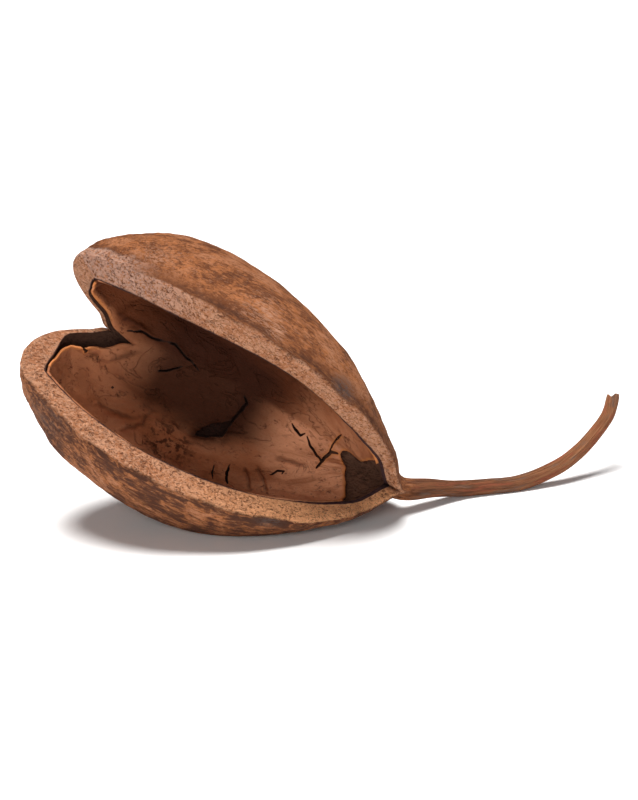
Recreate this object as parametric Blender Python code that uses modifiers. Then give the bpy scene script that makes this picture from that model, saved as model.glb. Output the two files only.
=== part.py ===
# Dried woody seed pod that has split open, lying on its side: two thick valves joined along the back,
# the stalk they taper into, and the thin cracked lining of the hollow.
# Metres, +Z up. The open split faces -Y and the stalk runs to +X.
# The origin is at the centre of the object's box, on the surface it lies on.

import math

import bmesh
import bpy
from mathutils import Matrix, Vector

OBJECT_NAME = "split_seed_pod"

# The pod as it was when closed: x runs along its axis from the stalk to the tip, y towards the front split
# and z through the upper valve. Widths and depths are half sizes, from the axis to the outer skin.
POD_LENGTH = 0.1355
FRONT_WIDTH = 0.0340
BACK_WIDTH = 0.0312
UPPER_DEPTH = 0.0325
LOWER_DEPTH = 0.0349
SECTION_FULLNESS = 0.89
RIM_BOW = 0.0012
UPPER_SWELL = 0.0012
UPPER_SWELL_OUTLINE = (6, 9, 1)
UPPER_CURL = 0.0033
LOWER_CURL = 0.0008

# Each outline is a rise and a fall from end to end: its rise, its fall and where it leans to.
FRONT_OUTLINE = (0.78, 0.79, 0.80)
BACK_OUTLINE = (0.49, 0.41, 0.80)
UPPER_OUTLINE = (0.93, 0.71, 1.66)
LOWER_OUTLINE = (0.93, 0.71, 1.80)

# The wall is thick and corky, and thinner at the sides than at the rim.
RIM_WALL = 0.0094
SIDE_WALL = 0.0072
TIP_WALL = 0.0090
HOLLOW_START = 0.0060
HOLLOW_FRONT_OUTLINE = (0.56, 0.91, 1.95)
HOLLOW_BACK_OUTLINE = (0.49, 0.45, 0.80)
HOLLOW_DEPTH_OUTLINE = (0.80, 0.70, 1.66)
RIM_ROUNDING = 0.0013

# The inner corner of the upper split face droops, more towards the tip.
RIM_DROOP = 0.0012
TIP_DROOP = 0.0028

# Beyond the notch the wall thins to a torn edge along the back.
TORN_FROM = 0.10
TORN_BEND = 1.25
TORN_TIP_REACH = 0.10
TORN_THINNING = 0.76
TORN_ROUNDING = 0.35

# How it has opened: each valve has turned about a line from the stalk to the notch, where the split
# that goes round the tip ends in the back. Below the notch the back bends and stays whole.
OPENING = math.radians(35.4)
SEAM_REACH = 0.09
BACK_BEND = math.radians(80)
NOTCH_BEND = math.radians(32)
BEND_REACH = 0.32
NOTCH_REACH = 0.05

# How it lies: the stalk end of the pod, and the directions of its axis and of its front.
STALK_END_AT = Vector((0.0234, -0.0054, 0.0083))
TO_TIP = Vector((-0.854, -0.135, 0.503)).normalized()
TO_FRONT = Vector((0.186, -0.981, 0.053))
TO_FRONT = (TO_FRONT - TO_TIP * TO_FRONT.dot(TO_TIP)).normalized()
TO_UPPER = TO_TIP.cross(TO_FRONT)

# The underside is pressed flat under the pod's weight.
HEEL_AT = Vector((-0.0478, -0.0049))
HEEL_REACH = 0.050
HEEL_DROP = 0.0042
HEEL_DEPTH = 0.022

# The stalk, from the pod's stalk end: it bends back, lies on the surface and lifts at its cut end.
STALK_RUN = [
    (0.0114, 0.0074, -0.0028),
    (0.0220, 0.0138, -0.0054),
    (0.0319, 0.0174, -0.0061),
    (0.0424, 0.0207, -0.0061),
    (0.0553, 0.0267, -0.0029),
    (0.0640, 0.0325, 0.0014),
    (0.0703, 0.0376, 0.0067),
    (0.0744, 0.0418, 0.0111),
    (0.0764, 0.0462, 0.0159),
]
NECK_RADIUS = 0.0039
STALK_RADIUS = 0.0028
STALK_END_RADIUS = 0.0023
NECK_REACH = 0.16

# The lining, a thin sheet that has shrunk off the wall and broken at its edges.
LINING_GAP = 0.0010
LINING_NOTCH_LIFT = 0.0016
LINING_THICKNESS = 0.0012
LINING_FRONT_EDGE = 0.05
LINING_BACK_EDGE = 0.12
LINING_STALK_EDGE = 0.10
LINING_STALK_RAGGED = 0.009
LINING_TIP_EDGE = 0.955
LINING_TEAR_AT = 0.60
LINING_TEAR_REACH = 0.20
LINING_HOLE_AT = (0.465, 2.55)
LINING_HOLE_RADIUS = 0.0065

# Mesh fineness: rings along the pod and round each valve, with one ring at the notch.
POD_RINGS = 34
NOTCH_RING = 24
VALVE_SIDES = 20
STALK_RINGS = 22
RIM_ROWS = 4
LINING_RINGS = 26
LINING_SIDES = 10
WELD = 0.000002

SHELL_COLOUR = (0.27, 0.115, 0.048, 1)
LINING_COLOUR = (0.33, 0.15, 0.075, 1)


def smooth(value):
    value = min(max(value, 0.0), 1.0)
    return value * value * (3 - 2 * value)


def ring_at(step, steps):
    """Share of the pod's length at a ring; rings crowd towards both ends."""
    return (1 - math.cos(math.pi * step / steps)) / 2


NOTCH_AT = ring_at(NOTCH_RING, POD_RINGS)


def bell(along, outline):
    """Rise from 0 to 1 and fall back to 0 along the pod."""
    rise, fall, lean = outline
    along = min(max(along, 0.0), 1.0)
    top = (rise / (rise + lean * fall)) ** (1 / lean)
    peak = top**rise * (1 - top**lean) ** fall
    return along**rise * (1 - along**lean) ** fall / peak


def half_section(along, angle, widths, start, end, neck=0.0):
    """Point of a closed valve. The angle runs from 0 at the front split to pi at the back."""
    front, back, deep = (math.hypot(width, neck) for width in widths)
    reach = front if math.cos(angle) > 0 else back
    fullness = 1 - (1 - SECTION_FULLNESS) * smooth(along / 0.1)
    height = deep * max(math.sin(angle), 0.0) ** fullness
    return start + (end - start) * along, reach * math.cos(angle), height


def looseness(along, angle):
    """1 where a valve turns freely, falling to 0 along the back where it stays whole."""
    width = NOTCH_BEND + (BACK_BEND - NOTCH_BEND) * smooth((NOTCH_AT - along) / BEND_REACH)
    past_notch = NOTCH_BEND * max(along - NOTCH_AT, 0.0) / NOTCH_REACH
    return smooth((math.pi - angle + past_notch) / width)


def bow(along, angle, side):
    """Bend of the split face out of its plane, and the curl of the tip."""
    curl = UPPER_CURL if side > 0 else LOWER_CURL
    front_bow = RIM_BOW * math.sin(math.pi * along)
    if side > 0:
        front_bow -= UPPER_SWELL * bell(along, UPPER_SWELL_OUTLINE)
    return curl * along**4 * looseness(along, angle) - front_bow * max(math.cos(angle), 0.0)


def droop(along, angle, side):
    """How far the hollow's edge on the upper valve hangs below the outer edge of the split face."""
    near_edge = max(math.cos(angle), smooth((along - 0.9) / 0.1))
    depth = RIM_DROOP * smooth(along / 0.08) + TIP_DROOP * smooth((along - 0.45) / 0.4)
    return depth * near_edge if side > 0 else 0.0


def torn_share(along, angle):
    """1 at the torn edge of the back, falling to 0 at the tip, round the side and below the notch."""
    past_notch = smooth((along - NOTCH_AT + TORN_FROM) / TORN_FROM)
    before_tip = smooth((1 - along) / TORN_TIP_REACH)
    return past_notch * before_tip * smooth((angle - math.pi + TORN_BEND) / TORN_BEND)


def hollow_point(along, angle, side):
    depth = UPPER_DEPTH if side > 0 else LOWER_DEPTH
    widths = (
        (FRONT_WIDTH - RIM_WALL) * bell(along, HOLLOW_FRONT_OUTLINE),
        (BACK_WIDTH - SIDE_WALL) * bell(along, HOLLOW_BACK_OUTLINE),
        (depth - SIDE_WALL) * bell(along, HOLLOW_DEPTH_OUTLINE),
    )
    x, y, z = half_section(along, angle, widths, HOLLOW_START, POD_LENGTH - TIP_WALL)
    hollow = Vector((x, y, side * (z + bow(along, angle, side) - droop(along, angle, side))))
    return hollow.lerp(sharp_skin_point(along, angle, side)[0], TORN_THINNING * torn_share(along, angle))


def sharp_skin_point(along, angle, side):
    """Point of the closed outer skin and its height over the split."""
    depth, outline = (UPPER_DEPTH, UPPER_OUTLINE) if side > 0 else (LOWER_DEPTH, LOWER_OUTLINE)
    widths = (
        FRONT_WIDTH * bell(along, FRONT_OUTLINE),
        BACK_WIDTH * bell(along, BACK_OUTLINE),
        depth * bell(along, outline),
    )
    neck = NECK_RADIUS * (1 - smooth(along / NECK_REACH))
    x, y, z = half_section(along, angle, widths, 0.0, POD_LENGTH, neck)
    return Vector((x, y, side * (z + bow(along, angle, side)))), z


def skin_point(along, angle, side):
    """Point of the closed outer skin, rounded over where it meets the split face."""
    skin, height = sharp_skin_point(along, angle, side)
    rounding = RIM_ROUNDING * (1 - (1 - TORN_ROUNDING) * torn_share(along, angle))
    lift = 1 - min(height / rounding, 1.0)
    pull = rounding * (1 - math.sqrt(1 - lift * lift)) * edge_of_split(along, angle)
    inward = hollow_point(along, angle, side) - skin
    inward.z = 0
    return skin + inward.normalized() * pull


def edge_of_split(along, angle):
    """1 where the closed skin meets a split face, 0 at the stalk and along the whole part of the back."""
    front = smooth(along / 0.03)
    if math.cos(angle) > 0:
        return front
    return smooth((along - NOTCH_AT) / NOTCH_REACH)


def opened(point, along, angle, side):
    """Turn a closed point with its valve."""
    seam = math.sin(math.pi / 2 * min(along / SEAM_REACH, 1.0))
    turn = side * OPENING * seam * looseness(along, angle)
    hinge = Vector((POD_LENGTH * NOTCH_AT, -BACK_WIDTH * bell(NOTCH_AT, BACK_OUTLINE), 0))
    return Matrix.Rotation(turn, 3, hinge) @ point


def placed(point):
    return STALK_END_AT + TO_TIP * point.x + TO_FRONT * point.y + TO_UPPER * point.z


def pressed(point):
    """Push the underside down round the heel and cut it off flat at the surface."""
    away = (point.xy - HEEL_AT).length / HEEL_REACH
    drop = HEEL_DROP * smooth(1 - away) * smooth(1 - point.z / HEEL_DEPTH)
    return Vector((point.x, point.y, max(point.z - drop, 0.0)))


def stalk_path(share):
    """Centre and direction of the stalk, from 0 at the pod to 1 at the cut end, on a smooth curve."""
    points = [TO_TIP * 0.010, Vector()] + [Vector(place) for place in STALK_RUN]
    points.append(points[-1] * 2 - points[-2])
    spans = len(points) - 3
    position = min(max(share, 0.0), 1.0) * spans
    span = min(int(position), spans - 1)
    t = position - span
    a, b, c, d = points[span : span + 4]
    centre = b + (c - a) * t / 2 + (a * 2 - b * 5 + c * 4 - d) * t * t / 2 + (b * 3 - a - c * 3 + d) * t**3 / 2
    heading = (c - a) / 2 + (a * 2 - b * 5 + c * 4 - d) * t + (b * 3 - a - c * 3 + d) * 1.5 * t * t
    return STALK_END_AT + centre, heading.normalized()


def stalk_point(share, angle, side):
    centre, heading = stalk_path(share)
    front = (TO_FRONT - heading * TO_FRONT.dot(heading)).normalized()
    upper = front.cross(heading)
    radius = STALK_RADIUS + (NECK_RADIUS - STALK_RADIUS) * (1 - smooth(share / 0.2))
    radius += (STALK_END_RADIUS - STALK_RADIUS) * smooth((share - 0.3) / 0.7)
    point = centre + (front * math.cos(angle) + upper * side * math.sin(angle)) * radius
    return Vector((point.x, point.y, max(point.z, 0.0)))


def skin_at(step, angle, side):
    """Outer surface from ring -STALK_RINGS at the cut end, through 0 at the pod, to the tip."""
    if step < 0:
        return stalk_point(-step / STALK_RINGS, angle, side)
    along = ring_at(step, POD_RINGS)
    return pressed(placed(opened(skin_point(along, angle, side), along, angle, side)))


def hollow_at(step, angle, side):
    along = ring_at(step, POD_RINGS)
    return placed(opened(hollow_point(along, angle, side), along, angle, side))


def rim_at(step, share, angle, side):
    """Split face, from the skin at share 0 to the hollow at share 1."""
    return skin_at(step, angle, side).lerp(hollow_at(step, angle, side), share)


def add_patch(mesh, columns, rows, place):
    """Add a grid to the mesh and put each corner where place(column, row) says."""
    grid = bmesh.ops.create_grid(mesh, x_segments=columns, y_segments=rows, size=0.5)
    for vert in grid["verts"]:
        column = round((vert.co.x + 0.5) * columns)
        row = round((vert.co.y + 0.5) * rows)
        vert.co = place(column, row)
    return {face for vert in grid["verts"] for face in vert.link_faces}


def side_angle(row, rows):
    """Angle round a valve; rows crowd towards both splits."""
    return math.pi * (0.6 * smooth(row / rows) + 0.4 * row / rows)


def finish(mesh, name, colour, roughness, collection):
    bmesh.ops.remove_doubles(mesh, verts=mesh.verts, dist=WELD)
    bmesh.ops.dissolve_degenerate(mesh, dist=WELD, edges=mesh.edges)
    data = bpy.data.meshes.new(name)
    mesh.to_mesh(data)
    mesh.free()
    data.shade_smooth()
    material = bpy.data.materials.new(name)
    material.use_nodes = True
    shader = material.node_tree.nodes["Principled BSDF"]
    shader.inputs["Base Color"].default_value = colour
    shader.inputs["Roughness"].default_value = roughness
    shader.inputs["Metallic"].default_value = 0.0
    data.materials.append(material)
    part = bpy.data.objects.new(name, data)
    collection.objects.link(part)
    return part


def pod_shell(collection):
    """Both valves with their split faces, and the stalk, in one closed skin."""
    mesh = bmesh.new()
    for side in (1, -1):
        add_patch(
            mesh,
            STALK_RINGS + POD_RINGS,
            VALVE_SIDES,
            lambda column, row: skin_at(column - STALK_RINGS, side_angle(row, VALVE_SIDES), side),
        )
        add_patch(
            mesh,
            POD_RINGS,
            VALVE_SIDES,
            lambda column, row: hollow_at(column, side_angle(row, VALVE_SIDES), side),
        )
        add_patch(
            mesh, POD_RINGS, RIM_ROWS, lambda column, row: rim_at(column, row / RIM_ROWS, 0.0, side)
        )
        add_patch(
            mesh,
            POD_RINGS - NOTCH_RING,
            RIM_ROWS,
            lambda column, row: rim_at(column + NOTCH_RING, row / RIM_ROWS, math.pi, side),
        )
    bmesh.ops.remove_doubles(mesh, verts=mesh.verts, dist=WELD)
    bmesh.ops.dissolve_degenerate(mesh, dist=WELD, edges=mesh.edges)
    cut_end = [edge for edge in mesh.edges if edge.is_boundary]
    bmesh.ops.holes_fill(mesh, edges=cut_end, sides=0)
    bmesh.ops.recalc_face_normals(mesh, faces=mesh.faces)
    return finish(mesh, "pod_shell", SHELL_COLOUR, 0.8, collection)


def lining_at(along, angle, side):
    """Point of the lining's outer face, off the wall of the hollow by a gap that widens at the notch."""
    step = 0.001
    near_notch = smooth((along - LINING_TEAR_AT) / LINING_TEAR_REACH) * smooth((angle - 2.2) / 0.6)
    gap = LINING_GAP + LINING_NOTCH_LIFT * near_notch
    here = hollow_point(along, angle, side)
    forward = hollow_point(along + step, angle, side) - hollow_point(along - step, angle, side)
    if angle < math.pi:
        sideways = hollow_point(along, angle + step, side) - hollow_point(along, angle - step, side)
        inward = forward.cross(sideways).normalized()
    else:
        inward = Vector((forward.y, -forward.x, 0)).normalized()
    if inward.dot(here - Vector((here.x, 0, 0))) > 0:
        inward.negate()
    return placed(opened(here + inward * gap, along, angle, side))


def lining_sheet_at(across, round_share, side):
    """Point of the sheet between its ragged edge by the stalk, its edges under the rim and its tear."""
    wave = math.sin(17 * round_share + 2 * side * (1 - round_share)) + 0.6 * math.sin(41 * round_share)
    start = LINING_STALK_EDGE + LINING_STALK_RAGGED * wave
    along = start + (LINING_TIP_EDGE - start) * across
    torn = LINING_BACK_EDGE * smooth((along - LINING_TEAR_AT) / LINING_TEAR_REACH)
    angle = LINING_FRONT_EDGE + (math.pi - torn - LINING_FRONT_EDGE) * round_share
    return lining_at(along, angle, side)


def inner_lining(collection):
    """Thin sheet inside both valves, torn along the back beyond the notch and holed in the lower valve."""
    mesh = bmesh.new()
    for side in (1, -1):
        sheet = add_patch(
            mesh,
            LINING_RINGS,
            LINING_SIDES,
            lambda column, row: lining_sheet_at(column / LINING_RINGS, row / LINING_SIDES, side),
        )
        if side < 0:
            bmesh.ops.reverse_faces(mesh, faces=list(sheet))
    hole_at = lining_at(*LINING_HOLE_AT, -1)
    torn = [face for face in mesh.faces if (face.calc_center_median() - hole_at).length < LINING_HOLE_RADIUS]
    bmesh.ops.delete(mesh, geom=torn, context="FACES")
    part = finish(mesh, "inner_lining", LINING_COLOUR, 0.7, collection)
    solidify = part.modifiers.new("thickness", "SOLIDIFY")
    solidify.thickness = LINING_THICKNESS
    solidify.offset = 1
    return part


def build():
    for old in list(bpy.data.objects):
        bpy.data.objects.remove(old, do_unlink=True)
    collection = bpy.data.collections.new(OBJECT_NAME)
    bpy.context.scene.collection.children.link(collection)
    pod_shell(collection)
    inner_lining(collection)


build()
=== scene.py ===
import math

import bmesh
import bpy
import numpy as np
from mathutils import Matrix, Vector, noise
from mathutils.bvhtree import BVHTree
from mathutils.kdtree import KDTree


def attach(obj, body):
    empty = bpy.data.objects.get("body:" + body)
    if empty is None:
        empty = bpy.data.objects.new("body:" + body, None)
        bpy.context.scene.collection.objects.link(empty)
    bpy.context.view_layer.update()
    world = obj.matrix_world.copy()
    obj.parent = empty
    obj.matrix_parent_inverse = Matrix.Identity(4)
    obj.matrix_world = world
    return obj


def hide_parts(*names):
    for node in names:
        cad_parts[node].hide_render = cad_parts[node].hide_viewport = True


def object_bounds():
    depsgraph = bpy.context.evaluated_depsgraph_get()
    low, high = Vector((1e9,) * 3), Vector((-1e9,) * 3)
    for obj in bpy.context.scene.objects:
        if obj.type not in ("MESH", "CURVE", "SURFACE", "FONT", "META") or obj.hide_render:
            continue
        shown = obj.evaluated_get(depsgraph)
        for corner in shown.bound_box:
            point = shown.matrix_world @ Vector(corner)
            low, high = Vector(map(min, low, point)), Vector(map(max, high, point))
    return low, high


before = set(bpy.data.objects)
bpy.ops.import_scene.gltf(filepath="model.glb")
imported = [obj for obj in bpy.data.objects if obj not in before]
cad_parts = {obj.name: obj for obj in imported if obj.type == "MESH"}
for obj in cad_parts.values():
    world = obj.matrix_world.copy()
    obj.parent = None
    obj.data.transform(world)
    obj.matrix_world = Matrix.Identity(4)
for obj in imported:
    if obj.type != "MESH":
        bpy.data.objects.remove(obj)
cad_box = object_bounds()

# Camera, floor and light. The pod is seen from 20 degrees above the surface it lies on, from 0.9 m, with a
# lens of about 120 mm. It lies on a white sheet under a broad lamp overhead, with a low soft panel in front.
PICTURE_WIDTH = 638
PICTURE_HEIGHT = 800
SENSOR = 0.036
EYE_AT = Vector((-0.0037, -0.8409, 0.3443))
EYE_RISE = math.radians(20)
FOCAL_PIXELS = 2663
EYE_AHEAD = Vector((0, math.cos(EYE_RISE), -math.sin(EYE_RISE)))
EYE_ABOVE = Vector((0, math.sin(EYE_RISE), math.cos(EYE_RISE)))
FLOOR_GAP = 0.0002

camera_data = bpy.data.cameras.new("camera")
camera_data.sensor_width = SENSOR * 1000
camera_data.lens = FOCAL_PIXELS / PICTURE_HEIGHT * SENSOR * 1000
camera_data.clip_start = 0.01
camera = bpy.data.objects.new("camera", camera_data)
camera.location = EYE_AT
camera.rotation_euler = (math.pi / 2 - EYE_RISE, 0, 0)
bpy.context.scene.collection.objects.link(camera)
bpy.context.scene.camera = camera


def sight(px, py):
    """Direction from the camera through a pixel of the picture."""
    right = (px - PICTURE_WIDTH / 2) / FOCAL_PIXELS
    up = (PICTURE_HEIGHT / 2 - py) / FOCAL_PIXELS
    return (EYE_AHEAD + Vector((1, 0, 0)) * right + EYE_ABOVE * up).normalized()


def lamp(kind, name, power, size, place, colour):
    """Light aimed at the pod. The size is a sun's spread in degrees, or a square panel's side in metres."""
    data = bpy.data.lights.new(name, kind)
    data.energy = power
    data.color = colour
    if kind == "SUN":
        data.angle = math.radians(size)
    else:
        data.size = size
    light = bpy.data.objects.new(name, data)
    light.location = place
    light.rotation_euler = (-Vector(place)).to_track_quat("-Z", "Y").to_euler()
    bpy.context.scene.collection.objects.link(light)


lamp("SUN", "overhead_light", power=5.6, size=26, place=(-0.17, 0.03, 1.0), colour=(1.0, 0.985, 0.96))
lamp("AREA", "front_panel", power=5.4, size=0.6, place=(-0.30, -1.0, 0.42), colour=(1.0, 0.97, 0.93))

world = bpy.data.worlds.new("white_room")
world.use_nodes = True
background = world.node_tree.nodes["Background"]
background.inputs["Color"].default_value = (0.86, 0.88, 1.0, 1)
background.inputs["Strength"].default_value = 0.07
bpy.context.scene.world = world
bpy.context.scene.view_settings.view_transform = "Standard"

floor_mesh = bmesh.new()
bmesh.ops.create_grid(floor_mesh, x_segments=1, y_segments=1, size=4.0)
floor_data = bpy.data.meshes.new("floor")
floor_mesh.to_mesh(floor_data)
floor_mesh.free()
floor = bpy.data.objects.new("floor", floor_data)
floor.location = (0, 0, -FLOOR_GAP)
bpy.context.scene.collection.objects.link(floor)
floor_paint = bpy.data.materials.new("white_sheet")
floor_paint.use_nodes = True
floor_shader = floor_paint.node_tree.nodes["Principled BSDF"]
floor_shader.inputs["Base Color"].default_value = (0.93, 0.93, 0.94, 1)
floor_shader.inputs["Roughness"].default_value = 0.9
floor_data.materials.append(floor_paint)

# The pod's shell and stalk, one grown piece: two thick corky valves joined along the back, which have turned
# apart about a line from the stalk to the notch. Rust-brown velvety skin outside with fibres along the pod,
# and pale granular split faces. The sizes are those of the solids.
POD_LENGTH = 0.1355
FRONT_WIDTH = 0.0340
BACK_WIDTH = 0.0312
UPPER_DEPTH = 0.0325
LOWER_DEPTH = 0.0349
SECTION_FULLNESS = 0.89
RIM_BOW = 0.0012
UPPER_SWELL = 0.0012
UPPER_SWELL_OUTLINE = (6, 9, 1)
UPPER_CURL = 0.0033
LOWER_CURL = 0.0008
FRONT_OUTLINE = (0.78, 0.79, 0.80)
BACK_OUTLINE = (0.49, 0.41, 0.80)
UPPER_OUTLINE = (0.93, 0.71, 1.66)
LOWER_OUTLINE = (0.93, 0.71, 1.80)
RIM_WALL = 0.0094
SIDE_WALL = 0.0072
TIP_WALL = 0.0090
HOLLOW_START = 0.0060
HOLLOW_FRONT_OUTLINE = (0.56, 0.91, 1.95)
HOLLOW_BACK_OUTLINE = (0.49, 0.45, 0.80)
HOLLOW_DEPTH_OUTLINE = (0.80, 0.70, 1.66)
RIM_ROUNDING = 0.0013
RIM_DROOP = 0.0012
TIP_DROOP = 0.0028
TORN_FROM = 0.10
TORN_BEND = 1.25
TORN_TIP_REACH = 0.10
TORN_THINNING = 0.76
TORN_ROUNDING = 0.35
OPENING = math.radians(35.4)
SEAM_REACH = 0.09
BACK_BEND = math.radians(80)
NOTCH_BEND = math.radians(32)
BEND_REACH = 0.32
NOTCH_REACH = 0.05
STALK_END_AT = np.array((0.0234, -0.0054, 0.0083))
HEEL_AT = np.array((-0.0478, -0.0049))
HEEL_REACH = 0.050
HEEL_DROP = 0.0042
HEEL_DEPTH = 0.022
STALK_RUN = [
    (0.0114, 0.0074, -0.0028),
    (0.0220, 0.0138, -0.0054),
    (0.0319, 0.0174, -0.0061),
    (0.0424, 0.0207, -0.0061),
    (0.0553, 0.0267, -0.0029),
    (0.0640, 0.0325, 0.0014),
    (0.0703, 0.0376, 0.0067),
    (0.0744, 0.0418, 0.0111),
    (0.0764, 0.0462, 0.0159),
]
NECK_RADIUS = 0.0039
STALK_RADIUS = 0.0028
STALK_END_RADIUS = 0.0023
NECK_REACH = 0.16
STALK_LENGTH = 0.090

# How finely the surfaces are divided: rings along the pod and along the stalk, with one of the pod's at the
# notch, and steps round the skin, round the hollow and across a split face. Corners this near are welded.
POD_RINGS = 238
NOTCH_RING = 168
VALVE_SIDES = 92
HOLLOW_SIDES = 24
STALK_RINGS = 96
RIM_ROWS = 16
WELD = 0.000002

# Heights and depths of the relief that is too fine for the solids.
SKIN_LUMPS = 0.00060
SKIN_DENTS = 0.00038
SKIN_RIDGES = 0.00034
SKIN_FIBRES = 0.00022
SPLIT_GRIT = 0.00020
SPLIT_WAVES = 0.00026
STALK_RIDGES = 0.00007
STALK_FIBRES = 0.00008
WALL_WAVES = 0.0003
WALL_GRIT = 0.0001
LOWER_GROOVE_DEPTH = 0.00045
UPPER_GROOVE_DEPTH = 0.00040
SEAM_DEPTH = 0.0011
FLAT_BELOW = 0.004
PRONG_HEIGHT = 0.0016
PRONGS_FROM = 0.972
PRONG_GROOVE_AT = -0.35
PRONG_GROOVE_REACH = 0.6
STALK_FADE = 0.05


def unit(vectors):
    return vectors / np.maximum(np.linalg.norm(vectors, axis=-1, keepdims=True), 1e-12)


TO_TIP = unit(np.array((-0.854, -0.135, 0.503)))
TO_FRONT = np.array((0.186, -0.981, 0.053))
TO_FRONT = unit(TO_FRONT - TO_TIP * TO_FRONT.dot(TO_TIP))
TO_UPPER = np.cross(TO_TIP, TO_FRONT)


def smooth(values):
    values = np.clip(values, 0.0, 1.0)
    return values * values * (3 - 2 * values)


def fading(distance, reach):
    """1 at no distance, falling off smoothly beyond the reach."""
    return np.exp(-((distance / reach) ** 2))


def within(values, start, end, reach):
    """0 outside start and end, and 1 inside them once a reach away."""
    return smooth((values - start) / reach) * smooth((end - values) / reach)


def ring_at(step):
    return (1 - np.cos(math.pi * step / POD_RINGS)) / 2


NOTCH_AT = ring_at(NOTCH_RING)


def bell(along, outline):
    """Rise from 0 to 1 and fall back to 0 along the pod."""
    rise, fall, lean = outline
    top = (rise / (rise + lean * fall)) ** (1 / lean)
    peak = top**rise * (1 - top**lean) ** fall
    return along**rise * np.maximum(1 - along**lean, 0.0) ** fall / peak


def looseness(along, angle):
    """1 where a valve turns freely, falling to 0 along the back where it stays whole."""
    width = NOTCH_BEND + (BACK_BEND - NOTCH_BEND) * smooth((NOTCH_AT - along) / BEND_REACH)
    past_notch = NOTCH_BEND * np.maximum(along - NOTCH_AT, 0.0) / NOTCH_REACH
    return smooth((math.pi - angle + past_notch) / width)


def section(along, angle, side, widths, start, end, neck):
    """Points of a closed valve, from the front split at angle 0 to the back at pi."""
    front, back, deep = (np.hypot(width, neck) for width in widths)
    across = np.where(np.cos(angle) > 0, front, back) * np.cos(angle)
    fullness = 1 - (1 - SECTION_FULLNESS) * smooth(along / 0.1)
    height = deep * np.maximum(np.sin(angle), 0.0) ** fullness
    curl = (UPPER_CURL if side > 0 else LOWER_CURL) * along**4 * looseness(along, angle)
    bow = RIM_BOW * np.sin(math.pi * along)
    if side > 0:
        bow = bow - UPPER_SWELL * bell(along, UPPER_SWELL_OUTLINE)
    offset = curl - bow * np.maximum(np.cos(angle), 0.0)
    return np.stack([start + (end - start) * along, across, side * (height + offset)], -1), height


def droop(along, angle, side):
    """How far the hollow's edge on the upper valve hangs below the outer edge of the split face."""
    near_edge = np.maximum(np.cos(angle), smooth((along - 0.9) / 0.1))
    depth = RIM_DROOP * smooth(along / 0.08) + TIP_DROOP * smooth((along - 0.45) / 0.4)
    return depth * near_edge * (side > 0)


def torn_share(along, angle):
    """1 at the torn edge of the back, falling to 0 at the tip, round the side and below the notch."""
    past_notch = smooth((along - NOTCH_AT + TORN_FROM) / TORN_FROM)
    before_tip = smooth((1 - along) / TORN_TIP_REACH)
    return past_notch * before_tip * smooth((angle - math.pi + TORN_BEND) / TORN_BEND)


def hollow_points(along, angle, side):
    depth = UPPER_DEPTH if side > 0 else LOWER_DEPTH
    widths = (
        (FRONT_WIDTH - RIM_WALL) * bell(along, HOLLOW_FRONT_OUTLINE),
        (BACK_WIDTH - SIDE_WALL) * bell(along, HOLLOW_BACK_OUTLINE),
        (depth - SIDE_WALL) * bell(along, HOLLOW_DEPTH_OUTLINE),
    )
    hollow = section(along, angle, side, widths, HOLLOW_START, POD_LENGTH - TIP_WALL, 0.0)[0]
    hollow[:, 2] -= droop(along, angle, side)
    share = TORN_THINNING * torn_share(along, angle)[:, None]
    return hollow * (1 - share) + sharp_skin_points(along, angle, side)[0] * share


def sharp_skin_points(along, angle, side):
    """Points of the closed outer skin and their height over the split."""
    depth, outline = (UPPER_DEPTH, UPPER_OUTLINE) if side > 0 else (LOWER_DEPTH, LOWER_OUTLINE)
    widths = (
        FRONT_WIDTH * bell(along, FRONT_OUTLINE),
        BACK_WIDTH * bell(along, BACK_OUTLINE),
        depth * bell(along, outline),
    )
    neck = NECK_RADIUS * (1 - smooth(along / NECK_REACH))
    return section(along, angle, side, widths, 0.0, POD_LENGTH, neck)


def skin_points(along, angle, side):
    """Points of the closed outer skin, rounded over where it meets a split face."""
    skin, height = sharp_skin_points(along, angle, side)
    split = np.where(np.cos(angle) > 0, smooth(along / 0.03), smooth((along - NOTCH_AT) / NOTCH_REACH))
    rounding = RIM_ROUNDING * (1 - (1 - TORN_ROUNDING) * torn_share(along, angle))
    lift = np.clip(1 - height / rounding, 0.0, 1.0)
    pull = rounding * (1 - np.sqrt(1 - lift * lift)) * split
    inward = hollow_points(along, angle, side) - skin
    inward[..., 2] = 0
    return skin + unit(inward) * pull[..., None]


HINGE = unit(np.array((POD_LENGTH * NOTCH_AT, -BACK_WIDTH * bell(NOTCH_AT, BACK_OUTLINE), 0.0)))


def opened(points, along, angle, side):
    """Turn closed points with their valve about the hinge, and place them where the pod lies."""
    seam = np.sin(math.pi / 2 * np.minimum(along / SEAM_REACH, 1.0))
    turn = side * OPENING * seam * looseness(along, angle)
    cosine = np.cos(turn)[..., None]
    sine = np.sin(turn)[..., None]
    turned = points * cosine + np.cross(HINGE, points) * sine
    turned += HINGE * (points @ HINGE)[..., None] * (1 - cosine)
    return STALK_END_AT + turned[..., :1] * TO_TIP + turned[..., 1:2] * TO_FRONT + turned[..., 2:] * TO_UPPER


def pressed(points):
    """Push the underside down round the heel and cut it off flat at the surface."""
    away = np.linalg.norm(points[..., :2] - HEEL_AT, axis=-1) / HEEL_REACH
    drop = HEEL_DROP * smooth(1 - away) * smooth(1 - points[..., 2] / HEEL_DEPTH)
    points = points.copy()
    points[..., 2] = np.maximum(points[..., 2] - drop, 0.0)
    return points


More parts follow.
